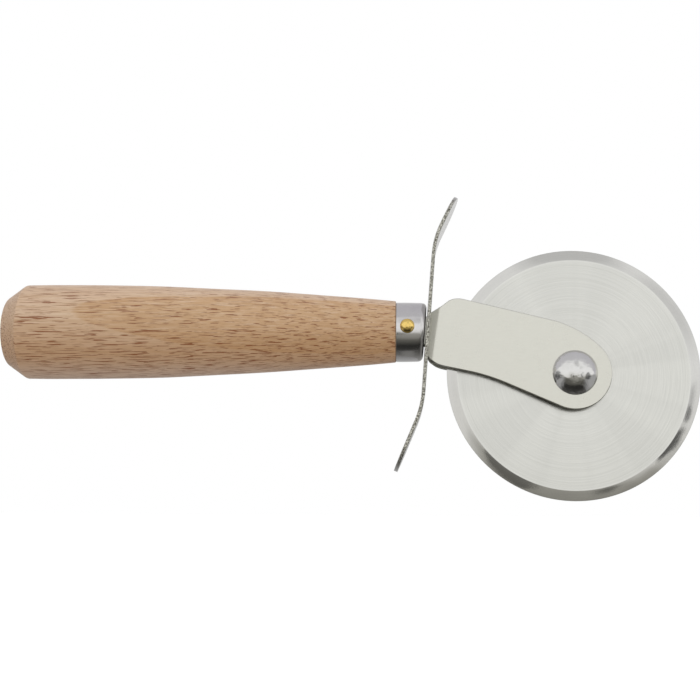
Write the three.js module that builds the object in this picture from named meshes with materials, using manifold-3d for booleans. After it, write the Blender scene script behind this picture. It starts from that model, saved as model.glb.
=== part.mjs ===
// Pastry cutter wheel: a riveted stainless wheel in a two-plate fork, a bent strip guard and a
// turned beech handle. Millimetres, +Z up. The wheel stands in the XZ plane, the handle points to -X
// and lies level, and the tool is symmetric about y = 0 apart from its rivet heads.
import * as THREE from 'three';
import { mergeVertices } from 'three/addons/utils/BufferGeometryUtils.js';
import Module from 'manifold-3d';

const wasm = await Module();
wasm.setup();

// ---------------------------------------------------------------- driving dimensions
const overallLength = 194;
const clearance = 0.3; // between neighbouring pieces

const wheelRadius = 35;
const wheelThickness = 1;
const bevelWidth = 2.8;
const cuttingEdge = 0.1;

const handleAxisHeight = 11.95; // above the wheel centre
const gripRadius = 13.35;
const gripFrontRadius = 8.6;
const buttRadius = 9.8;
const buttChamfer = 5.1; // along the handle
const taperStart = -135; // along X, measured from the wheel centre
const taperPower = 1.67;
const gripFront = -49.2;

const ferruleRadius = 8.35;
const ferruleWall = 0.5;
const ferruleFront = -41.1;
const ferruleShoulder = 1.8;

const guardWidth = 16;
const guardThickness = 1;
const guardMiddle = -40.3; // X of the strip where it crosses the handle axis
const guardLean = THREE.MathUtils.degToRad(4.2);
const guardTop = { lean: THREE.MathUtils.degToRad(25.5), toBend: 25, toTip: 14.9 };
const guardFoot = { lean: THREE.MathUtils.degToRad(22.9), toBend: 21.6, toTip: 19 };
const guardEndRadius = 8; // the strip's ends are fully rounded
const guardBendLength = 4.5; // of strip given to each half of a bend

const plateThickness = 1.2;
const armFace = 4; // outer face of each fork arm, from the mid plane
const forkEndRadius = 10.1;
const tangHeight = 8;
const tangLength = 36;
const tangInner = 1.2; // inner face of each tang, from the mid plane
const joggleStart = -40.6; // X at the handle axis where each plate starts to bend outwards
const joggleEnd = -37.6;
const joggleLean = THREE.MathUtils.degToRad(9);

const sleeveRadius = 4;
const axleRadius = 2.5;
const rivetHeadRadius = 6.15;
const rivetHeadHeight = 2.8;
const capHeadHeight = 2.2;
const washerRadius = 7.5;

const pinPosition = -46.05;
const pinHeight = 12.3;
const pinRadius = 1.25;
const pinHeadRadius = 2;

// ---------------------------------------------------------------- colours
const colours = {
  beech: 0xc79a6b,
  steel: 0xc4c5c0,
  polished: 0xd6d6d6,
  brass: 0xc9a24a,
};

// ---------------------------------------------------------------- geometry helpers
function toSolid(geometry) {
  const bare = geometry.clone();
  bare.deleteAttribute('normal');
  bare.deleteAttribute('uv');
  const welded = mergeVertices(bare, 1e-4);
  return new wasm.Manifold(new wasm.Mesh({
    numProp: 3,
    vertProperties: new Float32Array(welded.attributes.position.array),
    triVerts: new Uint32Array(welded.index.array),
  }));
}

function toGeometry(solid) {
  const mesh = solid.getMesh();
  const geometry = new THREE.BufferGeometry();
  geometry.setAttribute('position', new THREE.BufferAttribute(mesh.vertProperties, 3));
  geometry.setIndex(new THREE.BufferAttribute(mesh.triVerts, 1));
  return geometry;
}

// A profile of (distance along the axis, radius) pairs turned about the X axis.
function turnedAboutX(profile, segments) {
  const points = profile.map(([along, radius]) => new THREE.Vector2(radius, along));
  const geometry = new THREE.LatheGeometry(points, segments);
  geometry.rotateZ(-Math.PI / 2);
  return geometry;
}

// Leans the far end of a turned piece without moving its near end.
function leanFarEnd(geometry, nearX, farX, angle) {
  const position = geometry.attributes.position;
  for (let i = 0; i < position.count; i += 1) {
    const along = THREE.MathUtils.clamp((position.getX(i) - nearX) / (farX - nearX), 0, 1);
    position.setX(i, position.getX(i) + Math.tan(angle) * position.getZ(i) * along);
  }
}

// The same kind of profile turned about a line parallel to Y.
function turnedAlongY(profile, segments, x, z) {
  const points = profile.map(([along, radius]) => new THREE.Vector2(radius, along));
  const geometry = new THREE.LatheGeometry(points, segments);
  geometry.translate(x, 0, z);
  return toSolid(geometry);
}

// A flat outline drawn in X and Z, given thickness between two values of Y.
function cutFromSheet(shape, fromY, toY, curveSegments = 12) {
  const geometry = new THREE.ExtrudeGeometry(shape, {
    depth: toY - fromY,
    bevelEnabled: false,
    curveSegments,
  });
  geometry.rotateX(Math.PI / 2);
  geometry.translate(0, toY, 0);
  return toSolid(geometry);
}

function block(fromX, toX, fromY, toY, fromZ, toZ) {
  const geometry = new THREE.BoxGeometry(toX - fromX, toY - fromY, toZ - fromZ);
  geometry.translate((fromX + toX) / 2, (fromY + toY) / 2, (fromZ + toZ) / 2);
  return toSolid(geometry);
}

function boreAlongY(x, z, radius) {
  return turnedAlongY([[-40, 0], [-40, radius], [40, radius], [40, 0]], 32, x, z);
}

// ---------------------------------------------------------------- handle
function gripRadiusAt(x) {
  const along = Math.max(0, (x - taperStart) / (gripFront - taperStart));
  return gripRadius - (gripRadius - gripFrontRadius) * along ** taperPower;
}

function makeHandle() {
  const buttFace = wheelRadius - overallLength;
  const spigotRadius = ferruleRadius - ferruleWall - clearance;
  const spigotFront = ferruleFront - ferruleWall - ferruleShoulder;
  const profile = [[buttFace, 0], [buttFace, buttRadius - 0.5], [buttFace + 0.4, buttRadius]];
  profile.push([buttFace + buttChamfer, gripRadius - 0.05]);
  const steps = 16;
  for (let i = 0; i <= steps; i += 1) {
    const x = THREE.MathUtils.lerp(taperStart, gripFront, i / steps);
    profile.push([x, gripRadiusAt(x)]);
  }
  profile.push([gripFront, spigotRadius], [spigotFront, spigotRadius], [spigotFront, 0]);
  const wood = turnedAboutX(profile, 72);
  wood.translate(0, 0, handleAxisHeight);
  const slot = tangPocket(clearance, tangLength + 1);
  return toSolid(wood).subtract(slot).subtract(boreAlongY(pinPosition, pinHeight, pinRadius + clearance));
}

// The room the pair of tangs takes up, grown by a margin all round.
function tangPocket(margin, length, sideRoom = margin) {
  const halfThickness = tangInner + plateThickness + sideRoom;
  const halfHeight = tangHeight / 2 + margin;
  return block(
    guardMiddle - length, guardMiddle + 5,
    -halfThickness, halfThickness,
    handleAxisHeight - halfHeight, handleAxisHeight + halfHeight,
  );
}

// ---------------------------------------------------------------- ferrule and its pin
function makeFerrule() {
  const outer = ferruleRadius;
  const inner = ferruleRadius - ferruleWall;
  const open = gripFront + clearance;
  const closed = ferruleFront;
  const profile = [[open, inner], [open, outer]];
  const steps = 8;
  for (let i = 0; i <= steps; i += 1) {
    const angle = (i / steps) * (Math.PI / 2);
    profile.push([
      closed - ferruleShoulder + ferruleShoulder * Math.sin(angle),
      outer - ferruleShoulder + ferruleShoulder * Math.cos(angle),
    ]);
  }
  profile.push([closed, 0], [closed - ferruleWall, 0]);
  const innerShoulder = ferruleShoulder - ferruleWall;
  for (let i = steps; i >= 0; i -= 1) {
    const angle = (i / steps) * (Math.PI / 2);
    profile.push([
      closed - ferruleShoulder + innerShoulder * Math.sin(angle),
      outer - ferruleShoulder + innerShoulder * Math.cos(angle),
    ]);
  }
  profile.push([open, inner]);
  const cup = turnedAboutX(profile, 72);
  leanFarEnd(cup, open, closed, guardLean);
  cup.translate(0, 0, handleAxisHeight);
  const pinHole = boreAlongY(pinPosition, pinHeight, pinRadius + clearance);
  return toSolid(cup).subtract(tangPocket(clearance, tangLength)).subtract(pinHole);
}

// Shank from side to side of the ferrule, a domed head at the front, a low clenched head behind.
function makeFerrulePin() {
  const seat = ferruleRadius + clearance;
  const profile = [[-seat - 1.3, 0]];
  const steps = 6;
  for (let i = 1; i <= steps; i += 1) {
    const angle = (i / steps) * (Math.PI / 2);
    profile.push([-seat - 1.3 * Math.cos(angle), pinHeadRadius * Math.sin(angle)]);
  }
  profile.push([-seat, pinRadius], [seat, pinRadius], [seat, pinHeadRadius - 0.2]);
  profile.push([seat + 0.4, pinHeadRadius - 0.6], [seat + 0.5, 0]);
  return turnedAlongY(profile, 32, pinPosition, pinHeight);
}

// ---------------------------------------------------------------- guard
// Centre line of the strip: a straight middle, a top curved over towards the wheel (a thumb rest)
// and a foot curved back under the handle (a finger guard).
function guardCentreLine() {
  return [...guardHalf(guardFoot, -1).reverse(), ...guardHalf(guardTop, 1)];
}

// Points from the start of the bend to the tip of one half; side is 1 for the top and -1 for the foot.
function guardHalf(half, side) {
  const straight = leaningDirection(guardLean, side);
  const beyond = leaningDirection(half.lean, side);
  const corner = guardCorner(half, side);
  const bend = new THREE.QuadraticBezierCurve(
    corner.clone().addScaledVector(straight, -guardBendLength),
    corner,
    corner.clone().addScaledVector(beyond, guardBendLength),
  );
  return [...bend.getPoints(10), corner.clone().addScaledVector(beyond, half.toTip)];
}

function leaningDirection(lean, side) {
  return new THREE.Vector2(Math.sin(lean), Math.cos(lean)).multiplyScalar(side);
}

function guardCorner(half, side) {
  const middle = new THREE.Vector2(guardMiddle, handleAxisHeight);
  return middle.addScaledVector(leaningDirection(guardLean, side), half.toBend);
}

function stripOutline(centreLine, thickness) {
  const left = [];
  const right = [];
  centreLine.forEach((point, index) => {
    const before = centreLine[Math.max(index - 1, 0)];
    const after = centreLine[Math.min(index + 1, centreLine.length - 1)];
    const along = after.clone().sub(before).normalize();
    const across = new THREE.Vector2(-along.y, along.x).multiplyScalar(thickness / 2);
    left.push(point.clone().add(across));
    right.push(point.clone().sub(across));
  });
  return new THREE.Shape([...left, ...right.reverse()]);
}

// What is cut away to round one end of the strip: the square end less a disc.
function guardEndWaste(half, side) {
  const radius = guardEndRadius;
  const square = new THREE.BoxGeometry(8, 2 * radius + 2, radius + 2);
  square.translate(0, 0, radius / 2 + 1);
  const disc = new THREE.CylinderGeometry(radius, radius, 10, 48);
  disc.rotateZ(Math.PI / 2);
  const beyond = leaningDirection(half.lean, side);
  const centre = guardCorner(half, side).addScaledVector(beyond, half.toTip - radius);
  for (const geometry of [square, disc]) {
    geometry.rotateY(side > 0 ? half.lean : half.lean + Math.PI);
    geometry.translate(centre.x, 0, centre.y);
  }
  return toSolid(square).subtract(toSolid(disc));
}

function makeGuard() {
  const outline = stripOutline(guardCentreLine(), guardThickness);
  return cutFromSheet(outline, -guardWidth / 2, guardWidth / 2)
    .subtract(guardEndWaste(guardTop, 1))
    .subtract(guardEndWaste(guardFoot, -1))
    .subtract(tangPocket(clearance, 10, 4 * clearance));
}

// ---------------------------------------------------------------- fork plates
// X of the face the neck shoulders stop against, at a given height.
function shoulderAt(z) {
  return guardMiddle + guardThickness / 2 + clearance + Math.tan(guardLean) * (z - handleAxisHeight);
}

// Outline of one plate seen from the side: tang, neck, and an arm that widens towards the axle.
function plateOutline() {
  const tangTop = handleAxisHeight + tangHeight / 2;
  const tangFoot = handleAxisHeight - tangHeight / 2;
  const tangEnd = guardMiddle - tangLength;
  const neckTop = 16.9;
  const neckFoot = 4.9;
  const shape = new THREE.Shape();
  shape.moveTo(tangEnd, tangFoot + 1.5);
  shape.lineTo(tangEnd, tangTop - 1.5);
  shape.lineTo(tangEnd + 1.5, tangTop);
  shape.lineTo(shoulderAt(tangTop), tangTop);
  shape.lineTo(shoulderAt(neckTop), neckTop);
  shape.lineTo(-37.4, 17.9);
  shape.lineTo(-35.2, 19.6);
  shape.quadraticCurveTo(-33.4, 21.2, -30.5, 20.6);
  shape.lineTo(-5, 14.4);
  shape.quadraticCurveTo(2.8, 11.8, forkEndRadius * Math.cos(0.7), forkEndRadius * Math.sin(0.7));
  shape.absarc(0, 0, forkEndRadius, 0.7, -1.97, true);
  shape.lineTo(-17, -3.7);
  shape.quadraticCurveTo(-22.5, -1.2, -28, 0.1);
  shape.lineTo(-36, 1.75);
  shape.quadraticCurveTo(-39.3, 2.5, shoulderAt(neckFoot), neckFoot);
  shape.lineTo(shoulderAt(tangFoot), tangFoot);
  shape.lineTo(tangEnd + 1.5, tangFoot);
  shape.closePath();
  return shape;
}

// Edge-on path of the bent sheet: tang near the mid plane, a joggle, and the arm further out.
function joggleSection() {
  const armInner = armFace - plateThickness;
  const inner = joggleSide(tangInner, armInner, 0);
  const slope = Math.atan2(armInner - tangInner, joggleEnd - joggleStart);
  const outer = joggleSide(tangInner + plateThickness, armFace, plateThickness * Math.tan(slope / 2));
  return new THREE.Shape([...inner, ...outer.reverse()]);
}

// One face of the bent sheet, with its two corners eased; shift keeps the thickness even.
function joggleSide(fromY, toY, shift) {
  const ease = 0.6;
  const start = new THREE.Vector2(joggleStart - shift, fromY);
  const end = new THREE.Vector2(joggleEnd - shift, toY);
  const climb = end.clone().sub(start).normalize().multiplyScalar(ease);
  const flat = new THREE.Vector2(ease, 0);
  const leave = new THREE.QuadraticBezierCurve(start.clone().sub(flat), start, start.clone().add(climb));
  const join = new THREE.QuadraticBezierCurve(end.clone().sub(climb), end, end.clone().add(flat));
  const tangEnd = new THREE.Vector2(-90, fromY);
  const armEnd = new THREE.Vector2(30, toY);
  return [tangEnd, ...leave.getPoints(5), ...join.getPoints(5), armEnd];
}

function makeRearPlate() {
  const section = new THREE.ExtrudeGeometry(joggleSection(), { depth: 60, bevelEnabled: false });
  section.translate(-guardMiddle, 0, -30);
  section.rotateY(joggleLean);
  section.translate(guardMiddle, 0, handleAxisHeight);
  const sheet = toSolid(section);
  const outline = cutFromSheet(plateOutline(), 0, 12, 16);
  return sheet.intersect(outline)
    .subtract(boreAlongY(0, 0, axleRadius + clearance))
    .subtract(boreAlongY(pinPosition, pinHeight, pinRadius + clearance));
}

function makeFrontPlate() {
  return makeRearPlate().mirror([0, 1, 0]);
}

// ---------------------------------------------------------------- wheel and axle
function makeWheel() {
  const half = wheelThickness / 2;
  const bore = sleeveRadius + clearance;
  const shoulder = wheelRadius - bevelWidth;
  const profile = [
    [-half, bore],
    [-half, shoulder],
    [-cuttingEdge / 2, wheelRadius],
    [cuttingEdge / 2, wheelRadius],
    [half, shoulder],
    [half, bore],
    [-half, bore],
  ];
  return turnedAlongY(profile, 128, 0, 0);
}

function makeSleeve() {
  const half = armFace - plateThickness - clearance;
  const bore = axleRadius + clearance;
  const profile = [[-half, bore], [-half, sleeveRadius], [half, sleeveRadius], [half, bore], [-half, bore]];
  return turnedAlongY(profile, 48, 0, 0);
}

function makeWasher(side) {
  const near = wheelThickness / 2 + clearance;
  const far = armFace - plateThickness - clearance;
  const bore = sleeveRadius + clearance;
  const [from, to] = side > 0 ? [near, far] : [-far, -near];
  const profile = [[from, bore], [from, washerRadius], [to, washerRadius], [to, bore], [from, bore]];
  return turnedAlongY(profile, 48, 0, 0);
}

// Arc of a domed head, from its pole at the given height down to its rim.
function domeArc(seat, height, radius, steps) {
  const sphere = (radius * radius + height * height) / (2 * height);
  const spread = Math.asin(radius / sphere);
  return Array.from({ length: steps + 1 }, (_, i) => {
    const angle = (spread * i) / steps;
    return [seat + height - sphere * (1 - Math.cos(angle)), sphere * Math.sin(angle)];
  });
}

// Rivet: domed head on the front plate and a shank that reaches into the cap.
function makeAxleRivet() {
  const seat = armFace + clearance;
  const dome = domeArc(seat, rivetHeadHeight, rivetHeadRadius, 10);
  const head = dome.map(([along, radius]) => [-along, radius]);
  const profile = [...head, [-seat, axleRadius], [seat + 0.8, axleRadius], [seat + 0.8, 0]];
  return turnedAlongY(profile, 64, 0, 0);
}

// Cap: a lower domed head behind the rear plate with a blind hole for the rivet shank.
function makeAxleCap() {
  const seat = armFace + clearance;
  const bore = axleRadius + clearance;
  const head = domeArc(seat, capHeadHeight, rivetHeadRadius, 10).reverse();
  const profile = [[seat + 1.2, 0], [seat + 1.2, bore], [seat, bore], ...head];
  return turnedAlongY(profile, 64, 0, 0);
}

// ---------------------------------------------------------------- assembly
const pieces = [
  ['handle', makeHandle(), colours.beech, 0, 0.6],
  ['ferrule', makeFerrule(), colours.steel, 1, 0.35],
  ['ferrule_pin', makeFerrulePin(), colours.brass, 1, 0.25],
  ['guard', makeGuard(), colours.steel, 1, 0.4],
  ['fork_plate_front', makeFrontPlate(), colours.steel, 1, 0.35],
  ['fork_plate_rear', makeRearPlate(), colours.steel, 1, 0.35],
  ['wheel', makeWheel(), colours.steel, 1, 0.3],
  ['axle_rivet', makeAxleRivet(), colours.polished, 1, 0.12],
  ['axle_cap', makeAxleCap(), colours.polished, 1, 0.12],
  ['axle_sleeve', makeSleeve(), colours.steel, 1, 0.35],
  ['washer_front', makeWasher(-1), colours.steel, 1, 0.35],
  ['washer_rear', makeWasher(1), colours.steel, 1, 0.35],
];

const cutter = new THREE.Group();
cutter.name = 'pastry_cutter_wheel';
for (const [name, solid, color, metalness, roughness] of pieces) {
  const geometry = toGeometry(solid);
  geometry.translate(overallLength / 2 - wheelRadius, 0, wheelRadius);
  const mesh = new THREE.Mesh(geometry, new THREE.MeshStandardMaterial({ color, metalness, roughness }));
  mesh.name = name;
  cutter.add(mesh);
}

export default cutter;
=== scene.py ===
import math
import random

import bmesh
import bpy
from mathutils import Euler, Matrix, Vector
from mathutils.geometry import tessellate_polygon


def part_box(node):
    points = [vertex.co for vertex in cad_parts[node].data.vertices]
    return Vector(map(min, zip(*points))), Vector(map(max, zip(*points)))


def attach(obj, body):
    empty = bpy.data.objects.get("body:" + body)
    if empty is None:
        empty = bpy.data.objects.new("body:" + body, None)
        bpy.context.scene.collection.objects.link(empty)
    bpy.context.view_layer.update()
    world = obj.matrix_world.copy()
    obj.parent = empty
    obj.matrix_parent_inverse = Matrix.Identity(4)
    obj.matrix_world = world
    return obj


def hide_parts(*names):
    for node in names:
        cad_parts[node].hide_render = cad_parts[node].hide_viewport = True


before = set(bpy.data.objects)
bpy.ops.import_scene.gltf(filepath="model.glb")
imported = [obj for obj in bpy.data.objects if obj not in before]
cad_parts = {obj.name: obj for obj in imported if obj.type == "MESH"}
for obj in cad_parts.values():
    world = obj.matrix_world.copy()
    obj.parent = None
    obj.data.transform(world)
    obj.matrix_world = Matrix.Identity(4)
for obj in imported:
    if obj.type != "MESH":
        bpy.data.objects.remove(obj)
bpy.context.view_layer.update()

# Everything below is drawn in millimetres from the wheel's centre, with X along the handle towards
# the wheel, Y along the axle and Z up. Pieces are scaled to metres and stand at the wheel's centre.
MM = 0.001
wheel_low, wheel_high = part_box("wheel")
WHEEL_CENTRE = (wheel_low + wheel_high) / 2
RANDOM = random.Random(11)

# ---------------------------------------------------------------- driving dimensions
# Starts, faces, middles, axes and pin places are measured from the wheel's centre.
CLEARANCE = 0.3
WHEEL_RADIUS = (wheel_high.x - wheel_low.x) / 2 / MM
WHEEL_THICKNESS = 1.0
BEVEL_WIDTH = 2.8
CUTTING_EDGE = 0.1
HANDLE_AXIS = 11.95
OVERALL_LENGTH = 194.0
BUTT_FACE = WHEEL_RADIUS - OVERALL_LENGTH
BUTT_RADIUS = 9.7
BUTT_CHAMFER = 5.2
GRIP_RADIUS = 13.35
GRIP_FRONT_RADIUS = 8.6
TAPER_START = -135.0
TAPER_POWER = 1.67
GRIP_FRONT = -49.2
FERRULE_RADIUS = 8.35
FERRULE_WALL = 0.5
FERRULE_FRONT = -41.1
FERRULE_SHOULDER = 1.8
FERRULE_DRAFT = 0.12
FERRULE_DROP = 0.15
GUARD_WIDTH = 16.0
GUARD_THICKNESS = 1.0
GUARD_MIDDLE = -40.3
GUARD_LEAN = math.radians(4.2)
GUARD_TOP = {"side": 1, "lean": math.radians(25.5), "to_bend": 25.0, "to_tip": 14.9}
GUARD_FOOT = {"side": -1, "lean": math.radians(22.9), "to_bend": 21.6, "to_tip": 19.0}
PLATE_THICKNESS = 1.2
SHEET_EDGE = 0.22
ARM_FACE = 4.0
FORK_END_RADIUS = 10.1
TANG_HEIGHT = 8.0
TANG_LENGTH = 36.0
TANG_INNER = 1.2
JOGGLE_MIDDLE = -39.1
JOGGLE_RUN = 3.0
JOGGLE_EASE = 0.2
JOGGLE_LEAN = math.radians(9)
SLEEVE_RADIUS = 4.0
AXLE_RADIUS = 2.5
RIVET_HEAD_RADIUS = 6.15
RIVET_DOME = 2.95
CAP_DOME = 2.35
HEAD_RIM = 0.12
HEAD_GAP = 0.02
WASHER_RADIUS = 7.5
PIN_X = -46.05
PIN_Z = 12.3
PIN_RADIUS = 1.25
PIN_HEAD_RADIUS = 2.0
PIN_HEAD_HEIGHT = 1.25
FLOOR_DEPTH = 25.0


# ---------------------------------------------------------------- camera
def make_camera():
    """The camera stands to the left of the wheel's centre and below it, and looks slightly up."""
    from_wheel = Vector((-46.4, -322.1, -38.3)) * MM
    tilt, roll, turn = math.radians(97.96), math.radians(-0.38), math.radians(2.74)
    data = bpy.data.cameras.new("camera")
    data.lens = 59.55
    data.sensor_width = 36
    camera = bpy.data.objects.new("camera", data)
    camera.location = WHEEL_CENTRE + from_wheel
    camera.rotation_euler = Euler((tilt, roll, turn))
    bpy.context.scene.collection.objects.link(camera)
    bpy.context.scene.camera = camera


# ---------------------------------------------------------------- mesh helpers
def piece_from(name, bm, sharp_angle=35):
    """A shaded object at the wheel's centre from a mesh drawn in millimetres."""
    bmesh.ops.remove_doubles(bm, verts=bm.verts, dist=1e-4)
    bmesh.ops.recalc_face_normals(bm, faces=bm.faces)
    bmesh.ops.scale(bm, vec=(MM, MM, MM), verts=bm.verts)
    # Marking the sharp edges would make every face smooth, so the flat ones are noted first.
    bm.faces.index_update()
    flat_faces = [face.index for face in bm.faces if not face.smooth]
    mesh = bpy.data.meshes.new(name)
    bm.to_mesh(mesh)
    bm.free()
    mesh.set_sharp_from_angle(angle=math.radians(sharp_angle))
    for index in flat_faces:
        mesh.polygons[index].use_smooth = False
    piece = bpy.data.objects.new(name, mesh)
    piece.location = WHEEL_CENTRE
    bpy.context.scene.collection.objects.link(piece)
    return piece


def curve(start, pull, end, steps):
    """Points from start to end, both included, on a smooth curve that a third point pulls."""
    points = []
    for k in range(steps + 1):
        t = k / steps
        points.append((1 - t) ** 2 * start + 2 * t * (1 - t) * pull + t ** 2 * end)
    return points


def rounded(corners, closed=False, steps=5):
    """A profile of (along, radius, fillet) corners with each corner turned into an arc."""
    points = []
    count = len(corners)
    for i, (along, radius, fillet) in enumerate(corners):
        here = Vector((along, radius))
        if fillet <= 0 or (not closed and i in (0, count - 1)):
            points.append(here)
            continue
        back = Vector(corners[i - 1][:2]) - here
        on = Vector(corners[(i + 1) % count][:2]) - here
        half_turn = back.angle(on) / 2
        reach = min(fillet / math.tan(half_turn), 0.49 * back.length, 0.49 * on.length)
        start = here + back.normalized() * reach
        end = here + on.normalized() * reach
        points += curve(start, here, end, steps)
    return points


def turned(profile, axis, centre=(0, 0, 0), segments=128, closed=False, wobble=None):
    """A mesh of a profile of (along, radius) points turned about an axis through centre."""
    bm = bmesh.new()
    rings = []
    for along, radius in profile:
        ring = []
        for k in range(1 if radius < 1e-6 else segments):
            angle = 2 * math.pi * k / segments
            r = radius + (wobble(along, radius, angle) if wobble else 0)
            across, up = r * math.cos(angle), r * math.sin(angle)
            point = (along, across, up) if axis == "X" else (across, along, up)
            ring.append(bm.verts.new(Vector(point) + Vector(centre)))
        rings.append(ring)
    pairs = list(zip(rings, rings[1:]))
    if closed:
        pairs.append((rings[-1], rings[0]))
    for first, second in pairs:
        join_rings(bm, first, second)
    return bm


def join_rings(bm, first, second):
    """Smooth faces between two rings of vertices; a ring of one vertex is a point."""
    count = max(len(first), len(second))
    for k in range(count):
        corners = [first[k % len(first)], first[(k + 1) % len(first)]]
        corners += [second[(k + 1) % len(second)], second[k % len(second)]]
        corners = list(dict.fromkeys(corners))
        if len(corners) > 2:
            bm.faces.new(corners).smooth = True


def cut(piece, tools, sharp_angle):
    """Cuts the tools away from a piece and keeps the result as plain mesh."""
    for tool in tools:
        modifier = piece.modifiers.new("cut", "BOOLEAN")
        modifier.object = tool
        modifier.solver = "EXACT"
    depsgraph = bpy.context.evaluated_depsgraph_get()
    mesh = bpy.data.meshes.new_from_object(piece.evaluated_get(depsgraph))
    mesh.set_sharp_from_angle(angle=math.radians(sharp_angle))
    piece.modifiers.clear()
    piece.data = mesh
    for tool in tools:
        bpy.data.objects.remove(tool)


def pin_bore(radius):
    """A rod along the brass pin, longer than the handle is thick."""
    reach = 20
    profile = [(-reach, 0), (-reach, radius), (reach, radius), (reach, 0)]
    return piece_from("bore", turned(profile, "Y", (PIN_X, 0, PIN_Z), 48))


def tang_slot(side_room=CLEARANCE):
    """A box around the pair of tangs, to cut from the pieces that they pass through."""
    half_y = TANG_INNER + PLATE_THICKNESS + side_room
    half_z = TANG_HEIGHT / 2 + CLEARANCE
    back, front = GUARD_MIDDLE - TANG_LENGTH - 1, GUARD_MIDDLE + 4
    bm = bmesh.new()
    ends = []
    for x in (back, front):
        corners = [(-half_y, -half_z), (half_y, -half_z), (half_y, half_z), (-half_y, half_z)]
        ends.append([bm.verts.new((x, y, HANDLE_AXIS + z)) for y, z in corners])
    join_rings(bm, *ends)
    bm.faces.new(ends[0])
    bm.faces.new(ends[1])
    return piece_from("slot", bm)


# ---------------------------------------------------------------- handle
def grip_radius_at(x):
    """The grip is straight up to the start of its taper and then thins ever faster."""
    along = max(0.0, (x - TAPER_START) / (GRIP_FRONT - TAPER_START))
    return GRIP_RADIUS - (GRIP_RADIUS - GRIP_FRONT_RADIUS) * along ** TAPER_POWER


def hand_turned(along, radius, angle):
    """How far a hand-turned and hand-sanded handle strays from a true round, in millimetres."""
    waves = 0.035 * math.sin(along * 0.21 + 0.7) + 0.03 * math.sin(2 * angle + along * 0.05)
    waves += 0.02 * math.sin(3 * angle - along * 0.11)
    near_butt = max(0.0, 1 - abs(along - BUTT_FACE - 3) / 4)
    chamfer = 0.09 * math.sin(2 * angle + 1.1) + 0.05 * math.sin(5 * angle)
    return (waves + chamfer * near_butt) * min(1.0, radius / GRIP_RADIUS)


def make_handle():
    spigot = FERRULE_RADIUS - FERRULE_WALL - CLEARANCE
    spigot_front = FERRULE_FRONT - FERRULE_WALL - FERRULE_SHOULDER
    butt_ring, straight_start = 5, TAPER_START - 12
    corners = [(BUTT_FACE, 0, 0), (BUTT_FACE, butt_ring, 0), (BUTT_FACE, BUTT_RADIUS, 0.9)]
    corners += [(BUTT_FACE + BUTT_CHAMFER, GRIP_RADIUS, 1.2), (straight_start, GRIP_RADIUS, 0)]
    steps = 40
    for i in range(steps + 1):
        x = TAPER_START + (GRIP_FRONT - TAPER_START) * i / steps
        fillet = 0.35 if i == steps else 0
        corners.append((x, grip_radius_at(x), fillet))
    corners += [(GRIP_FRONT, spigot, 0), (spigot_front, spigot, 0.3), (spigot_front, 0, 0)]
    bm = turned(rounded(corners), "X", (0, 0, HANDLE_AXIS), 160, wobble=hand_turned)
    piece = piece_from("turned_handle", bm)
    cut(piece, [tang_slot(), pin_bore(PIN_RADIUS + CLEARANCE)], 28)
    return piece


# ---------------------------------------------------------------- ferrule and its pin
def make_ferrule():
    """A cup over the spigot; its closed end leans with the guard."""
    back = GRIP_FRONT + 0.03
    draft_start, draft_middle = -46.5, -44.5
    inner = FERRULE_RADIUS - FERRULE_WALL
    inside_front = FERRULE_FRONT - FERRULE_WALL
    corners = [(inside_front, 0, 0), (inside_front, inner, FERRULE_SHOULDER - FERRULE_WALL)]
    corners += [(back, inner, 0.1), (back, FERRULE_RADIUS, 0.2)]
    corners += [(draft_start, FERRULE_RADIUS, 0), (draft_middle, FERRULE_RADIUS - FERRULE_DRAFT / 3, 0)]
    corners += [(FERRULE_FRONT, FERRULE_RADIUS - FERRULE_DRAFT, FERRULE_SHOULDER)]
    corners += [(FERRULE_FRONT, 0, 0)]
    bm = turned(rounded(corners, steps=10), "X", (0, 0, HANDLE_AXIS - FERRULE_DROP), 160)
    for vert in bm.verts:
        along = (vert.co.x - back) / (FERRULE_FRONT - back)
        vert.co.x += math.tan(GUARD_LEAN) * (vert.co.z - HANDLE_AXIS) * max(0.0, along)
    piece = piece_from("ferrule_cup", bm)
    cut(piece, [tang_slot(), pin_bore(PIN_RADIUS + CLEARANCE)], 28)
    return piece


def make_pin():
    """A domed head in front, a shank through the ferrule and a clenched end behind."""
    seat = FERRULE_RADIUS + HEAD_GAP
    shank_front = 0.25 - seat
    clench_start, clench_end = seat + 0.15, seat + 0.7
    corners = []
    steps = 14
    for i in range(steps + 1):
        angle = math.pi / 2 * i / steps
        out = PIN_HEAD_HEIGHT * math.cos(angle)
        corners.append((-seat - out, PIN_HEAD_RADIUS * math.sin(angle), 0))
    corners += [(shank_front, PIN_HEAD_RADIUS - 0.25, 0), (shank_front, PIN_RADIUS, 0)]
    corners += [(clench_start, PIN_RADIUS, 0), (clench_start, PIN_HEAD_RADIUS - 0.2, 0.15)]
    corners += [(clench_end, PIN_HEAD_RADIUS - 0.7, 0.3), (clench_end + 0.05, 0, 0)]
    return piece_from("brass_pin", turned(rounded(corners), "Y", (PIN_X, 0, PIN_Z), 64), 40)


# ---------------------------------------------------------------- guard
def leaning(lean, side):
    """A direction (X, Z) that leans off the vertical, upwards or downwards."""
    return Vector((math.sin(lean), math.cos(lean))) * side


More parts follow.
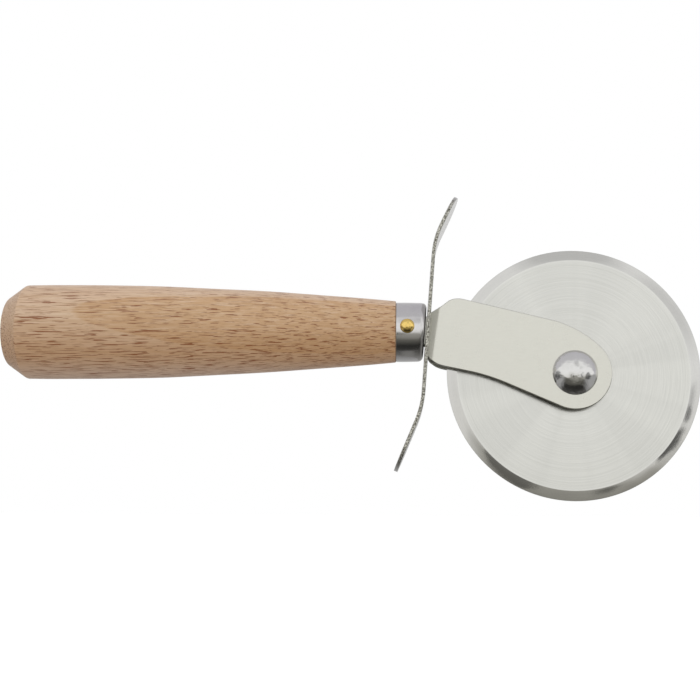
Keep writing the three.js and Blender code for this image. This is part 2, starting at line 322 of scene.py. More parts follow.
def guard_half(half):
    """Points (X, Z) from the start of the bend to the tip of one half of the strip."""
    bend_length = 4.5
    straight = leaning(GUARD_LEAN, half["side"])
    beyond = leaning(half["lean"], half["side"])
    corner = Vector((GUARD_MIDDLE, HANDLE_AXIS)) + straight * half["to_bend"]
    start, end = corner - straight * bend_length, corner + beyond * bend_length
    points = curve(start, corner, end, 14)
    tip = corner + beyond * half["to_tip"]
    run_steps = 60
    for k in range(1, run_steps + 1):
        ease = math.sin(math.pi / 2 * k / run_steps)
        points.append(end.lerp(tip, ease))
    return points


def guard_centre_line():
    """The strip's line from the tip of its foot to the tip of its top."""
    foot = guard_half(GUARD_FOOT)[::-1]
    top = guard_half(GUARD_TOP)
    middle_steps = 90
    middle = [foot[-1].lerp(top[0], k / middle_steps) for k in range(1, middle_steps)]
    return foot + middle + top


def strip_section(half_width, half_thickness):
    """Rounded rectangle (across, through) of the strip at one place along it."""
    edge = min(SHEET_EDGE, half_width * 0.45)
    arc_steps = 3
    points = []
    for turn in range(4):
        across = (half_width - edge) * (1 if turn in (0, 3) else -1)
        through = (half_thickness - edge) * (1 if turn in (0, 1) else -1)
        for k in range(arc_steps + 1):
            angle = math.pi / 2 * (turn + k / arc_steps)
            points.append((across + edge * math.cos(angle), through + edge * math.sin(angle)))
    return points


def make_guard():
    """The strip has round ends, a slot for the tangs and a near edge that the shears left uneven."""
    carried_over, unevenness = 0.7, 0.02
    line = guard_centre_line()
    length = [0.0]
    for before, here in zip(line, line[1:]):
        length.append(length[-1] + (here - before).length)
    half_width = GUARD_WIDTH / 2
    bm = bmesh.new()
    rings = []
    shear = 0.0
    for i, point in enumerate(line):
        along = (line[min(i + 1, len(line) - 1)] - line[max(i - 1, 0)]).normalized()
        through = Vector((-along.y, along.x))
        from_tip = min(length[i], length[-1] - length[i])
        from_centre = max(0.0, half_width - from_tip)
        width = max(0.05, math.sqrt(max(0.0, half_width ** 2 - from_centre ** 2)))
        shear = carried_over * shear + RANDOM.uniform(-unevenness, unevenness)
        ring = []
        for across, depth in strip_section(width, GUARD_THICKNESS / 2):
            y = across - shear if across < -0.8 * width else across
            co = point + through * depth
            ring.append(bm.verts.new((co.x, y, co.y)))
        rings.append(ring)
    for first, second in zip(rings, rings[1:]):
        join_rings(bm, first, second)
    for ring in (rings[0], rings[-1]):
        bm.faces.new(ring).smooth = True
    piece = piece_from("guard_strip", bm)
    cut(piece, [tang_slot(0)], 50)
    return piece


# ---------------------------------------------------------------- fork plates
def shoulder_at(z):
    """X of the line where the neck stops against the guard, at a given height."""
    gap = 0.12
    stop = GUARD_MIDDLE + GUARD_THICKNESS / 2 + gap
    return stop + math.tan(GUARD_LEAN) * (z - HANDLE_AXIS)


def curve_to(points, pull, end):
    """Goes on from the last point of an outline along a smooth curve."""
    points += curve(points[-1], Vector(pull), Vector(end), 12)[1:]


def arc(centre, radius, start, end, steps):
    """Points of a round stretch from one angle to another, both ends included."""
    angles = [start + (end - start) * k / steps for k in range(steps + 1)]
    return [Vector(centre) + radius * Vector((math.cos(a), math.sin(a))) for a in angles]


def plate_outline():
    """Outline (X, Z) of one plate seen from the side: tang, neck and widening arm."""
    tang_top = HANDLE_AXIS + TANG_HEIGHT / 2
    tang_foot = HANDLE_AXIS - TANG_HEIGHT / 2
    tang_end = GUARD_MIDDLE - TANG_LENGTH
    corner = 1.5
    neck_top, neck_foot = 16.9, 4.9
    points = [Vector((shoulder_at(tang_foot), tang_foot)), Vector((tang_end + corner, tang_foot))]
    points += [Vector((tang_end, tang_foot + corner)), Vector((tang_end, tang_top - corner))]
    points += [Vector((tang_end + corner, tang_top)), Vector((shoulder_at(tang_top), tang_top))]
    # The neck climbs to the arm's upper edge, which falls straight to the round end.
    points += [Vector((shoulder_at(neck_top), neck_top)), Vector((-37.4, 17.9)), Vector((-35.2, 19.6))]
    curve_to(points, (-33.4, 21.2), (-30.5, 20.6))
    points.append(Vector((-5, 14.4)))
    end_arc = arc((0, 0), FORK_END_RADIUS, 0.7, -1.97, 60)
    curve_to(points, (2.8, 11.8), end_arc[0])
    points += end_arc[1:]
    # The lower edge sweeps back from the round end to the neck.
    points.append(Vector((-17, -3.7)))
    curve_to(points, (-22.5, -1.2), (-28, 0.1))
    points.append(Vector((-36, 1.75)))
    curve_to(points, (-39.3, 2.5), (shoulder_at(neck_foot), neck_foot))
    return points


def inset(loop, distance):
    """A closed outline moved sideways towards its own material."""
    moved = []
    for i, point in enumerate(loop):
        back = (point - loop[i - 1]).normalized()
        on = (loop[(i + 1) % len(loop)] - point).normalized()
        normal = Vector((-(back + on).y, (back + on).x)).normalized()
        stretch = 1 / max(0.5, math.sqrt((1 + back.dot(on)) / 2))
        moved.append(point - normal * distance * stretch)
    return moved


def sheet_metal(outline, holes, thickness, edge):
    """A flat plate between Y = -thickness/2 and +thickness/2 with rounded-over edges."""
    bm = bmesh.new()
    arc_steps = 4
    faces = {-1: [], 1: []}
    for loop in [outline] + holes:
        rings = []
        for side in (-1, 1):
            angles = range(arc_steps + 1) if side < 0 else range(arc_steps, -1, -1)
            for k in angles:
                angle = math.pi / 2 * k / arc_steps
                y = side * (thickness / 2 - edge + edge * math.cos(angle))
                moved = inset(loop, edge * (1 - math.sin(angle)))
                rings.append([bm.verts.new((p.x, y, p.y)) for p in moved])
        for first, second in zip(rings, rings[1:]):
            join_rings(bm, first, second)
        faces[-1].append(rings[0])
        faces[1].append(rings[-1])
    for loops in faces.values():
        flat = [[Vector((v.co.x, v.co.z, 0)) for v in loop] for loop in loops]
        verts = [v for loop in loops for v in loop]
        for triangle in tessellate_polygon(flat):
            bm.faces.new([verts[i] for i in triangle]).smooth = False
    return bm


def joggle(bm):
    """Bends a flat plate out from the tang near the mid plane to the arm beside the wheel."""
    across = Vector((math.cos(JOGGLE_LEAN), 0, -math.sin(JOGGLE_LEAN)))
    middle = Vector((JOGGLE_MIDDLE, 0, HANDLE_AXIS))
    cuts = 16
    for k in range(cuts + 1):
        at = middle + across * JOGGLE_RUN * (k / cuts - 0.5)
        geometry = bm.verts[:] + bm.edges[:] + bm.faces[:]
        bmesh.ops.bisect_plane(bm, geom=geometry, plane_co=at, plane_no=across, dist=1e-5)
    tang_middle = TANG_INNER + PLATE_THICKNESS / 2
    step = ARM_FACE - PLATE_THICKNESS / 2 - tang_middle
    for face in bm.faces:
        u = (face.calc_center_median() - middle).dot(across)
        if abs(u) < JOGGLE_RUN / 2:
            face.smooth = True
    for vert in bm.verts:
        u = (vert.co - middle).dot(across)
        share, slope = eased_step(u / JOGGLE_RUN + 0.5)
        slope *= step / JOGGLE_RUN
        w = vert.co.y / math.hypot(1, slope)
        vert.co.y = tang_middle + step * share + w
        vert.co -= across * (w * slope)


def eased_step(t):
    """A straight climb from 0 to 1 with eased ends: the height at t and the slope there."""
    t = min(1.0, max(0.0, t))
    slope = min(t / JOGGLE_EASE, 1.0, (1 - t) / JOGGLE_EASE) / (1 - JOGGLE_EASE)
    spread = 2 * JOGGLE_EASE * (1 - JOGGLE_EASE)
    if t < JOGGLE_EASE:
        return t * t / spread, slope
    if t > 1 - JOGGLE_EASE:
        return 1 - (1 - t) ** 2 / spread, slope
    return (t - JOGGLE_EASE / 2) / (1 - JOGGLE_EASE), slope


def make_plate(name, side):
    """One fork plate; side is -1 for the front one and 1 for the rear one."""
    axle_hole = arc((0, 0), AXLE_RADIUS + CLEARANCE, 0, 2 * math.pi, 48)[:-1]
    pin_hole = arc((PIN_X, PIN_Z), PIN_RADIUS + CLEARANCE, 0, 2 * math.pi, 32)[:-1]
    bm = sheet_metal(plate_outline(), [axle_hole, pin_hole], PLATE_THICKNESS, SHEET_EDGE)
    joggle(bm)
    for vert in bm.verts:
        vert.co.y *= side
    return piece_from(name, bm, 60)


# ---------------------------------------------------------------- wheel and axle
def make_wheel():
    half = WHEEL_THICKNESS / 2
    half_edge = CUTTING_EDGE / 2
    shoulder = WHEEL_RADIUS - BEVEL_WIDTH
    bore = SLEEVE_RADIUS + CLEARANCE
    face_ring = 20
    corners = [(-half, bore, 0.1), (-half, face_ring, 0), (-half, shoulder, 0.8)]
    corners += [(-half_edge, WHEEL_RADIUS, 0.04), (half_edge, WHEEL_RADIUS, 0.04)]
    corners += [(half, shoulder, 0.8), (half, face_ring, 0), (half, bore, 0.1)]
    bm = turned(rounded(corners, closed=True), "Y", segments=360, closed=True)
    return piece_from("cutting_disc", bm, 20)


def dome_arc(seat, height, radius, steps=24):
    """Corners of a round cap of a sphere, from its top down to its rim at the seat."""
    sphere = (radius * radius + height * height) / (2 * height)
    spread = math.asin(radius / sphere)
    angles = [spread * i / steps for i in range(steps + 1)]
    return [(seat + height - sphere * (1 - math.cos(a)), sphere * math.sin(a), 0) for a in angles]


def make_rivet():
    """The domed head in front of the fork, and its shank through to the cap."""
    seat = ARM_FACE + HEAD_GAP
    shank_end = seat + 1.0
    corners = [(-a, r, 0) for a, r, _ in dome_arc(seat + HEAD_RIM, RIVET_DOME, RIVET_HEAD_RADIUS)]
    corners += [(-seat, RIVET_HEAD_RADIUS - HEAD_RIM / 2, 0.03), (-seat, AXLE_RADIUS, 0.1)]
    corners += [(shank_end, AXLE_RADIUS, 0.2), (shank_end, 0, 0)]
    return piece_from("rivet", turned(rounded(corners), "Y", segments=128), 35)


def make_cap():
    """A lower dome behind the fork, hollow where the rivet's shank ends in it."""
    seat = ARM_FACE + HEAD_GAP
    bore = AXLE_RADIUS + CLEARANCE / 2
    bore_end = seat + 1.4
    corners = [(bore_end, 0, 0), (bore_end, bore, 0), (seat, bore, 0.1)]
    corners += [(seat, RIVET_HEAD_RADIUS - HEAD_RIM / 2, 0.03)]
    corners += dome_arc(seat + HEAD_RIM, CAP_DOME, RIVET_HEAD_RADIUS)[::-1]
    return piece_from("rivet_cap", turned(rounded(corners), "Y", segments=128), 35)


def make_ring(name, from_y, to_y, bore, radius):
    """A sleeve or a washer on the axle."""
    inner_edge, outer_edge = 0.08, 0.15
    corners = [(from_y, bore, inner_edge), (from_y, radius, outer_edge)]
    corners += [(to_y, radius, outer_edge), (to_y, bore, inner_edge)]
    bm = turned(rounded(corners, closed=True), "Y", segments=96, closed=True)
    return piece_from(name, bm, 35)


# ---------------------------------------------------------------- node trees
class Nodes:
    """Builds a node tree from short calls; a value, a colour or another node's socket goes in."""

    def __init__(self, tree, coordinate, scale):
        self.tree = tree
        self.coordinates = self.node("ShaderNodeTexCoord", {})
        self.place = self.vector("SCALE", self.coordinates.outputs[coordinate], scale=scale)
        self.x, self.y, self.z = self.node("ShaderNodeSeparateXYZ", {0: self.place}).outputs

    def feed(self, socket, value):
        if isinstance(value, bpy.types.NodeSocket):
            self.tree.links.new(value, socket)
        elif socket.type == "RGBA":
            socket.default_value = (*value, 1)
        else:
            socket.default_value = value

    def node(self, kind, inputs, **settings):
        made = self.tree.nodes.new(kind)
        for key, value in settings.items():
            setattr(made, key, value)
        for key, value in inputs.items():
            self.feed(made.inputs[key], value)
        return made

    def vector(self, operation, first, second=(0, 0, 0), scale=1.0):
        made = self.node("ShaderNodeVectorMath", {0: first, 1: second, 3: scale}, operation=operation)
        return made.outputs[1 if operation in ("LENGTH", "DISTANCE") else 0]

    def math(self, operation, *values):
        return self.node("ShaderNodeMath", dict(enumerate(values)), operation=operation).outputs[0]

    def noise(self, scale, detail=2.0, stretch=(1, 1, 1), roughness=0.5, where=None):
        at = self.vector("MULTIPLY", where or self.place, stretch)
        inputs = {"Vector": at, "Scale": scale, "Detail": detail, "Roughness": roughness}
        return self.node("ShaderNodeTexNoise", inputs).outputs["Fac"]

    def ramp(self, value, low, high, to_low=0.0, to_high=1.0):
        """A smooth climb from to_low, where the value is low, to to_high, where it is high."""
        inputs = {"Value": value, "From Min": low, "From Max": high}
        inputs.update({"To Min": to_low, "To Max": to_high})
        return self.node("ShaderNodeMapRange", inputs, interpolation_type="SMOOTHSTEP").outputs[0]

    def band(self, value, start, middle, end):
        """A climb to 1 in the middle of a band and a fall back to 0 at its end."""
        climb, fall = self.ramp(value, start, middle), self.ramp(value, middle, end, 1.0, 0.0)
        return self.math("MULTIPLY", climb, fall)

    def mix(self, factor, first, second, blend="MIX"):
        inputs = {0: factor, 6: first, 7: second}
        return self.node("ShaderNodeMix", inputs, data_type="RGBA", blend_type=blend).outputs[2]


class Shader(Nodes):
    """The nodes of one material, in millimetres from the wheel's centre."""

    def __init__(self, name):
        self.material = bpy.data.materials.new(name)
        self.material.use_nodes = True
        super().__init__(self.material.node_tree, "Object", 1 / MM)
        self.surface = self.tree.nodes["Principled BSDF"]

    def stain(self, colour, value, low, high, strength, tint):
        """The colour with a tint laid over it, at most to strength, as the value climbs."""
        return self.mix(self.ramp(value, low, high, 0.0, strength), colour, tint)

    def facing(self, axis, low, high):
        """How much the surface faces along X (0) or Y (1), as a climb between two limits."""
        normal = self.node("ShaderNodeSeparateXYZ", {0: self.coordinates.outputs["Normal"]})
        return self.ramp(self.math("ABSOLUTE", normal.outputs[axis]), low, high)

    def bump(self, height, distance, strength=1.0, under=None):
        inputs = {"Height": height, "Distance": distance * MM, "Strength": strength}
        if under:
            inputs["Normal"] = under
        return self.node("ShaderNodeBump", inputs).outputs[0]

    def finish(self, **inputs):
        for key, value in inputs.items():
            self.feed(self.surface.inputs[key.replace("_", " ").title()], value)
        return self.material


# ---------------------------------------------------------------- wood
def growth_rings(s):
    """Distance from the pith, which runs in front of the handle, less the lean of the rings. Both
    lean against the handle's axis, so the rings open as a tongue along the near side."""
    tongue_tip, pith_y, pith_z = -138.7, -40.0, 24.6
    pith_fall, opening, drift = 0.17, 0.075, 1.6
    from_tip = s.math("SUBTRACT", s.x, tongue_tip)
    dy = s.math("SUBTRACT", s.y, pith_y)
    pith_height = s.math("SUBTRACT", pith_z, s.math("MULTIPLY", from_tip, pith_fall))
    dz = s.math("SUBTRACT", s.z, pith_height)
    squares = s.math("ADD", s.math("MULTIPLY", dy, dy), s.math("MULTIPLY", dz, dz))
    ring = s.math("SUBTRACT", s.math("SQRT", squares), s.math("MULTIPLY", from_tip, opening))
    return s.math("ADD", ring, s.math("MULTIPLY", s.noise(0.05, 2), drift))


def beech_ground(s, fibre, low_side):
    """The wood's colour without its rays: a warm tongue of rings inside paler wood."""
    heart = 29.4
    pale, warm = (0.73, 0.52, 0.355), (0.655, 0.415, 0.225)
    ring = growth_rings(s)
    inside = s.ramp(ring, heart - 0.15, heart + 0.15, 1.0, 0.0)
    border = s.band(ring, heart - 0.2, heart + 0.2, heart + 1.0)
    late_wood = s.math("MULTIPLY", inside, s.ramp(ring, heart - 1.6, heart - 0.2))
    fine_rings = s.math("SINE", s.math("MULTIPLY", ring, 2.6))
    streak = s.noise(0.35, 3, (0.05, 1.2, 1.2))
    colour = s.mix(inside, pale, warm)
    colour = s.mix(s.math("MULTIPLY", border, 0.45), colour, (0.82, 0.62, 0.43))
    colour = s.mix(s.math("MULTIPLY", late_wood, 0.35), colour, (0.56, 0.31, 0.14))
    colour = s.stain(colour, fine_rings, -0.2, 1.0, 0.20, (0.58, 0.36, 0.19))
    colour = s.stain(colour, streak, 0.35, 0.7, 0.40, (0.58, 0.37, 0.20))
    colour = s.mix(s.ramp(fibre, 0.3, 0.55, 0.5, 0.0), colour, (0.85, 0.67, 0.49))
    colour = s.stain(colour, fibre, 0.5, 0.75, 0.45, (0.50, 0.29, 0.14))
    # The half towards the worktop is painted darker and redder, a painted shade of light falling from
    # above; along its bottom it is painted pale, a painted sheen.
    colour = s.mix(s.math("MULTIPLY", low_side, 0.6), colour, (0.57, 0.305, 0.14))
    # A painted sheen: the wood is made pale along the very bottom of the handle.
    painted_bottom_sheen = s.ramp(s.z, HANDLE_AXIS - 12.6, HANDLE_AXIS - 8, 0.6, 0.0)
    return s.mix(painted_bottom_sheen, colour, (0.74, 0.54, 0.41))


def beech_rays(s, low_side, end_grain):
    """Short dark rays: noise drawn out along the grain and cut off near its peaks. They are closer
    together on the low side and on the butt's chamfer, which cuts across the grain."""
    start = s.math("SUBTRACT", 0.602, s.math("MULTIPLY", low_side, 0.035))
    start = s.math("SUBTRACT", start, s.math("MULTIPLY", end_grain, 0.03))
    peaks = {"Value": s.noise(1.0, 2, (0.155, 3.3, 3.3), 0.45), "From Min": start}
    peaks["From Max"] = s.math("ADD", start, 0.035)
    rays = s.node("ShaderNodeMapRange", peaks).outputs[0]
    thin_rays = s.ramp(s.noise(1.0, 2, (0.22, 5.0, 5.0)), 0.60, 0.68)
    return s.math("MAXIMUM", s.math("MULTIPLY", rays, 0.9), s.math("MULTIPLY", thin_rays, 0.5))


def beech():
    s = Shader("beech")
    fibre = s.noise(1.0, 6, (0.08, 2.6, 2.6), 0.65)
    # Towards the worktop: this mask paints shade on the lower half and packs the rays closer together
    # there.
    low_side = s.ramp(s.z, HANDLE_AXIS - 9, HANDLE_AXIS + 5, 1.0, 0.0)
    end_grain = s.facing(0, 0.2, 0.75)
    rays = beech_rays(s, low_side, end_grain)
    colour = s.mix(rays, beech_ground(s, fibre, low_side), (0.28, 0.095, 0.03))
    colour = s.mix(s.math("MULTIPLY", end_grain, 0.3), colour, (0.42, 0.27, 0.16))
    grain = s.math("SUBTRACT", s.math("MULTIPLY", fibre, 0.5), rays)
    normal = s.bump(grain, 0.05, 0.6)
    normal = s.bump(s.noise(6.0, 3, (0.25, 1, 1)), 0.02, 0.35, normal)
    rough = s.ramp(fibre, 0.2, 0.8, 0.50, 0.62)
    s.finish(sheen_weight=0.3, sheen_roughness=0.4)
    return s.finish(base_color=colour, roughness=rough, normal=normal)


# ---------------------------------------------------------------- metals
def metal(name, colour, low, high, speckle=0.06):
    """Bare steel or brass with a fine even mottle; returns the shader, still open."""
    s = Shader(name)
    cloud = s.noise(0.35, 4, roughness=0.6)
    s.grit = s.noise(9.0, 3, roughness=0.7)
    shade = s.math("ADD", s.math("MULTIPLY", cloud, 0.5), s.math("MULTIPLY", s.grit, 0.5))
    dark = tuple(c * (1 - 2 * speckle) for c in colour)
    light = tuple(min(1.0, c * (1 + speckle)) for c in colour)
    s.colour = s.mix(s.ramp(shade, 0.35, 0.65), dark, light)
    s.rough = s.ramp(shade, 0.3, 0.7, low, high)
    s.finish(metallic=1.0)
    return s


def ferrule_steel():
    s = metal("ferrule_steel", (0.66, 0.65, 0.645), 0.10, 0.17, 0.03)
    rings = s.noise(1.0, 3, (14.0, 0.35, 0.35), 0.6)
    scratches = s.noise(1.0, 2, (0.4, 9.0, 9.0))
    normal = s.bump(rings, 0.008, 0.35)
    normal = s.bump(scratches, 0.006, 0.25, normal)
    return s.finish(base_color=s.colour, roughness=s.rough, normal=normal)


def brass():
    s = metal("brass", (0.89, 0.635, 0.20), 0.08, 0.14, 0.06)
    normal = s.bump(s.noise(2.2, 3), 0.05, 0.35)
    return s.finish(base_color=s.colour, roughness=s.rough, normal=normal)


def guard_steel():
    s = metal("guard_steel", (0.66, 0.655, 0.63), 0.26, 0.36, 0.05)
    edge = s.facing(1, 0.45, 0.85)
    torn = s.noise(2.4, 6, roughness=0.75)
    torn_colour = s.mix(s.ramp(torn, 0.40, 0.60), (0.13, 0.125, 0.10), (0.78, 0.77, 0.69))
    colour = s.mix(edge, s.colour, torn_colour)
    rough = s.math("ADD", s.rough, s.math("MULTIPLY", edge, 0.22))
    brushed = s.noise(1.0, 3, (7.0, 0.3, 7.0), 0.6)
    normal = s.bump(brushed, 0.01, 0.35)
    normal = s.bump(s.math("MULTIPLY", torn, edge), 0.12, 0.6, normal)
    return s.finish(base_color=colour, roughness=rough, normal=normal)


def fork_steel():
    s = metal("fork_steel", (0.695, 0.69, 0.625), 0.27, 0.29, 0.012)
    edge = s.facing(1, 0.78, 0.45)
    brushed = s.noise(1.0, 4, (0.25, 7.0, 7.0), 0.65)
    torn = s.noise(2.6, 5, roughness=0.7)
    # The rounded-over edges keep their own torn texture and are also painted dark, as painted shade of
    # the gap beside them and painted dark reflection.
    torn_edge_and_painted_shade = s.mix(s.ramp(torn, 0.35, 0.65), (0.15, 0.145, 0.12), (0.42, 0.41, 0.36))
    colour = s.stain(s.colour, brushed, 0.35, 0.7, 0.16, (0.52, 0.515, 0.46))
    colour = s.mix(s.math("MULTIPLY", edge, 0.8), colour, torn_edge_and_painted_shade)
    rough = s.math("ADD", s.rough, s.math("MULTIPLY", edge, 0.15))
    normal = s.bump(brushed, 0.012, 0.35)
    normal = s.bump(s.grit, 0.008, 0.3, normal)
    return s.finish(base_color=colour, roughness=rough, normal=normal)


def wheel_steel():
    """Lathe rings and a little drift around the disc, painted sheen wedges, then a painted highlight
    line and the ground bevel.
    """
    s = metal("wheel_steel", (0.69, 0.69, 0.65), 0.19, 0.26, 0.012)
    flat = s.vector("MULTIPLY", s.place, (1, 0, 1))
    radius = s.vector("LENGTH", flat)
    outward = s.node("ShaderNodeCombineXYZ", {0: radius}).outputs[0]
    around = s.vector("NORMALIZE", flat)
    fine = s.noise(5.0, 3, roughness=0.8, where=outward)
    broad = s.noise(1.1, 3, roughness=0.7, where=outward)
    # Painted sheen: faint wedges of lighter and darker colour around the disc.
    painted_sheen_wedges = s.noise(2.4, 2, where=around)
    # Each ring's brightness also drifts as it goes round, as a lathe tool leaves it.
    ring, turn = s.vector("SCALE", outward, scale=3.0), s.vector("SCALE", around, scale=2.5)
    arcs = s.noise(1.0, 3, roughness=0.6, where=s.vector("ADD", turn, ring))
    bevel_start = WHEEL_RADIUS - BEVEL_WIDTH
    bevel = s.ramp(radius, bevel_start - 0.1, bevel_start + 0.1)
    # A painted highlight: a bright ring just inside the start of the bevel.
    painted_highlight_line = s.band(radius, bevel_start - 0.55, bevel_start - 0.2, bevel_start + 0.15)
    ground = s.noise(1.0, 4, (1.5, 9.0, 1.5), 0.7)
    bevel_tone = s.ramp(ground, 0.3, 0.7, 0.35, 0.6)
    colour = s.stain(s.colour, painted_sheen_wedges, 0.40, 0.60, 0.30, (0.56, 0.56, 0.53))
    colour = s.stain(colour, fine, 0.42, 0.66, 0.30, (0.48, 0.48, 0.45))
    colour = s.stain(colour, broad, 0.40, 0.62, 0.12, (0.80, 0.80, 0.77))
    colour = s.stain(colour, arcs, 0.42, 0.66, 0.22, (0.54, 0.54, 0.51))
    colour = s.mix(s.math("MULTIPLY", bevel, bevel_tone), colour, (0.57, 0.56, 0.555))
    colour = s.mix(s.math("MULTIPLY", painted_highlight_line, 0.2), colour, (0.86, 0.86, 0.84))
    rough = s.math("SUBTRACT", s.rough, s.math("MULTIPLY", bevel, 0.17))
    # The bevel was ground by hand, so it has slight flats around it, deeper towards the edge.
    flats = s.math("SUBTRACT", s.noise(1.8, 2, where=around), 0.5)
    lift = s.ramp(radius, bevel_start, WHEEL_RADIUS)
    normal = s.bump(fine, 0.012, 0.4)
    normal = s.bump(s.math("MULTIPLY", flats, lift), 0.5, 0.4, normal)
    return s.finish(base_color=colour, roughness=rough, normal=normal)


def polished_steel():
    s = metal("polished_steel", (0.70, 0.695, 0.68), 0.05, 0.09, 0.02)
    dents = s.noise(0.5, 3, roughness=0.55)
    normal = s.bump(dents, 0.25, 0.5)
    return s.finish(base_color=s.colour, roughness=s.rough, normal=normal)


def plain_steel():
    s = metal("plain_steel", (0.55, 0.55, 0.54), 0.30, 0.42, 0.06)
    rings = s.noise(1.0, 3, (0.5, 8.0, 0.5), 0.6)
    return s.finish(base_color=s.colour, roughness=s.rough, normal=s.bump(rings, 0.02, 0.4))


# ---------------------------------------------------------------- floor and light
def make_floor():
    """A plain pale floor below the tool that throws no light on it and isn't mirrored in it."""
    bm = bmesh.new()
    bmesh.ops.create_circle(bm, cap_ends=True, segments=96, radius=6000 * MM)
    mesh = bpy.data.meshes.new("floor")
    bm.to_mesh(mesh)
    bm.free()
    floor = bpy.data.objects.new("floor", mesh)
    floor.location = (0, 0, -FLOOR_DEPTH * MM)
    bpy.context.scene.collection.objects.link(floor)
    s = Shader("pale_floor")
    colour = s.mix(s.ramp(s.noise(0.004, 2), 0.3, 0.7), (0.60, 0.60, 0.60), (0.62, 0.62, 0.62))
    s.finish(emission_color=(1, 1, 1), emission_strength=0.66)
    mesh.materials.append(s.finish(base_color=colour, roughness=0.9))
    floor.visible_glossy = False
    floor.visible_diffuse = False
    floor.visible_shadow = False


def tent_walls(tent):
    """The tent's light by height angle about X: 0 in front, 90 overhead, -90 below, 180 behind."""
    # Each stop is (height angle in degrees, brightness, warmth from violet -1 to yellow 1).
    stops = [(-180, 0.58, 0), (-130, 0.36, 0), (-100, 0.18, 0.3), (-84, 0.06, 0.5), (-62, 0.028, 0.6)]
    stops += [(-36, 0.14, 1), (-19, 0.44, 0.7), (-9, 0.92, 0.2), (8, 1.05, 0), (44, 1.0, 0)]
    stops += [(59, 0.66, -0.3), (100, 0.60, -0.5), (140, 0.62, -0.3), (180, 0.58, 0)]
    fold_depth = 0.55
    height = tent.math("ARCTAN2", tent.z, tent.math("MULTIPLY", tent.y, -1.0))
    folds = tent.math("MULTIPLY", tent.math("SUBTRACT", tent.noise(2.3, 2), 0.5), fold_depth)
    height = tent.math("ADD", height, folds)
    share = tent.math("ADD", tent.math("DIVIDE", height, 2 * math.pi), 0.5)
    walls = tent.node("ShaderNodeValToRGB", {0: share})
    elements = walls.color_ramp.elements
    for index, (degrees, brightness, warmth) in enumerate(stops):
        place = degrees / 360 + 0.5
        stop = elements[0] if index == 0 else elements.new(place)
        stop.position = place
        tint = 0.12 * warmth
        stop.color = (brightness * (1 + abs(tint) / 4), brightness, brightness * (1 - tint), 1)
    elements.remove(elements[-1])
    return walls.outputs[0]


def tent_patch(tent, light, azimuth, height, spread, soft, left):
    """The tent's light with one round patch of it brought down, or up, to a share of itself."""
    turn, tip, reach = math.radians(azimuth), math.radians(height), math.radians(spread)
    flat = math.cos(tip)
    middle = (flat * math.sin(turn), -flat * math.cos(turn), math.sin(tip))
    away = tent.vector("DISTANCE", tent.place, middle)
    return tent.vector("SCALE", light, scale=tent.ramp(away, reach * (1 - soft), reach, left))


def light_tent():
    """White tent light by direction, in the world: bright in front, softer overhead, dark below."""
    world = bpy.data.worlds.new("light_tent")
    world.use_nodes = True
    bpy.context.scene.world = world
    tent = Nodes(world.node_tree, "Generated", 1.0)
    light = tent_walls(tent)
    # The tent's two ends are pale all the way down.
    ends = tent.ramp(tent.math("ABSOLUTE", tent.x), 0.5, 0.88)
    light = tent.mix(ends, light, (0.44, 0.44, 0.44), "LIGHTEN")
    # Gaps and folds: (azimuth, height angle, spread, soft rim's share of it, light left). All are
    # dimmer than the wall around them but one, which is brighter.
    patches = [(9, 36, 15, 0.6, 0.74), (29, 20, 11, 0.7, 0.84), (32, 2.4, 3.4, 0.8, 0.6)]
    patches += [(30.8, -0.9, 2.2, 0.3, 0.20), (28, -7.4, 4.3, 0.15, 0.17), (25, -11.4, 0.8, 0.5, 1.5)]
    patches += [(15.5, -17.5, 3.4, 0.6, 0.40), (-5.5, -13.2, 6.6, 0.08, 0.40)]
    patches += [(58, -10, 16, 0.5, 0.3), (-72, -4, 19, 0.5, 0.3)]
    for patch in patches:
        light = tent_patch(tent, light, *patch)
    # The camera sees plain white behind the object.
    camera_ray = tent.node("ShaderNodeLightPath", {}).outputs["Is Camera Ray"]
    background = tent.tree.nodes["Background"]
    tent.feed(background.inputs["Color"], tent.mix(camera_ray, light, (1, 1, 1)))
    background.inputs["Strength"].default_value = 1.0


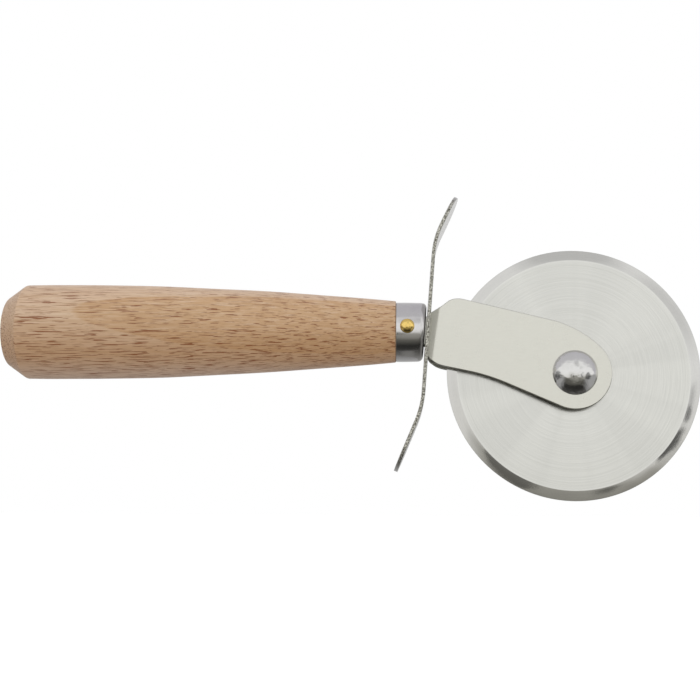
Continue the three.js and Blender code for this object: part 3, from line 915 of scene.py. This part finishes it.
def soft_box(name, place, size, power):
    """A square area light at a place in metres from the wheel, facing it and not mirrored in it."""
    data = bpy.data.lights.new(name, "AREA")
    data.size = size
    data.energy = power
    light = bpy.data.objects.new(name, data)
    light.location = WHEEL_CENTRE + Vector(place)
    aim = -Vector(place)
    light.rotation_euler = aim.to_track_quat("-Z", "Y").to_euler()
    light.visible_glossy = False
    bpy.context.scene.collection.objects.link(light)


# ---------------------------------------------------------------- assembly
make_camera()
make_floor()
light_tent()
soft_box("key_light", (-0.3, -0.5, 0.9), 0.5, 1.2)
soft_box("fill_light", (-0.1, -0.25, -0.65), 0.5, 1.25)
bpy.context.scene.view_settings.view_transform = "Standard"

# The sleeve reaches from plate to plate, and a washer fills most of the gap beside the wheel.
beside_wheel = WHEEL_THICKNESS / 2 + CLEARANCE / 2
beside_plate = ARM_FACE - PLATE_THICKNESS - 0.05
washer_bore = SLEEVE_RADIUS + CLEARANCE
PIECES = [
    (make_handle(), "handle", "holder", "beech", beech()),
    (make_ferrule(), "ferrule", "holder", "ferrule_steel", ferrule_steel()),
    (make_pin(), "ferrule_pin", "holder", "brass", brass()),
    (make_guard(), "guard", "holder", "guard_steel", guard_steel()),
    (make_plate("front_plate", -1), "fork_plate_front", "holder", "fork_steel", fork_steel()),
    (make_plate("rear_plate", 1), "fork_plate_rear", "holder", "fork_steel", fork_steel()),
    (make_wheel(), "wheel", "cutting_wheel", "wheel_steel", wheel_steel()),
    (make_rivet(), "axle_rivet", "holder", "polished_steel", polished_steel()),
    (make_cap(), "axle_cap", "holder", "polished_steel", polished_steel()),
    (make_ring("sleeve", -beside_plate, beside_plate, AXLE_RADIUS + CLEARANCE, SLEEVE_RADIUS),
     "axle_sleeve", "holder", "plain_steel", plain_steel()),
    (make_ring("near_washer", -beside_plate, -beside_wheel, washer_bore, WASHER_RADIUS),
     "washer_front", "holder", "plain_steel", plain_steel()),
    (make_ring("far_washer", beside_wheel, beside_plate, washer_bore, WASHER_RADIUS),
     "washer_rear", "holder", "plain_steel", plain_steel()),
]
for piece, node, body, slot, material in PIECES:
    piece.data.materials.clear()
    piece.data.materials.append(material)
    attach(piece, body)
    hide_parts(node)
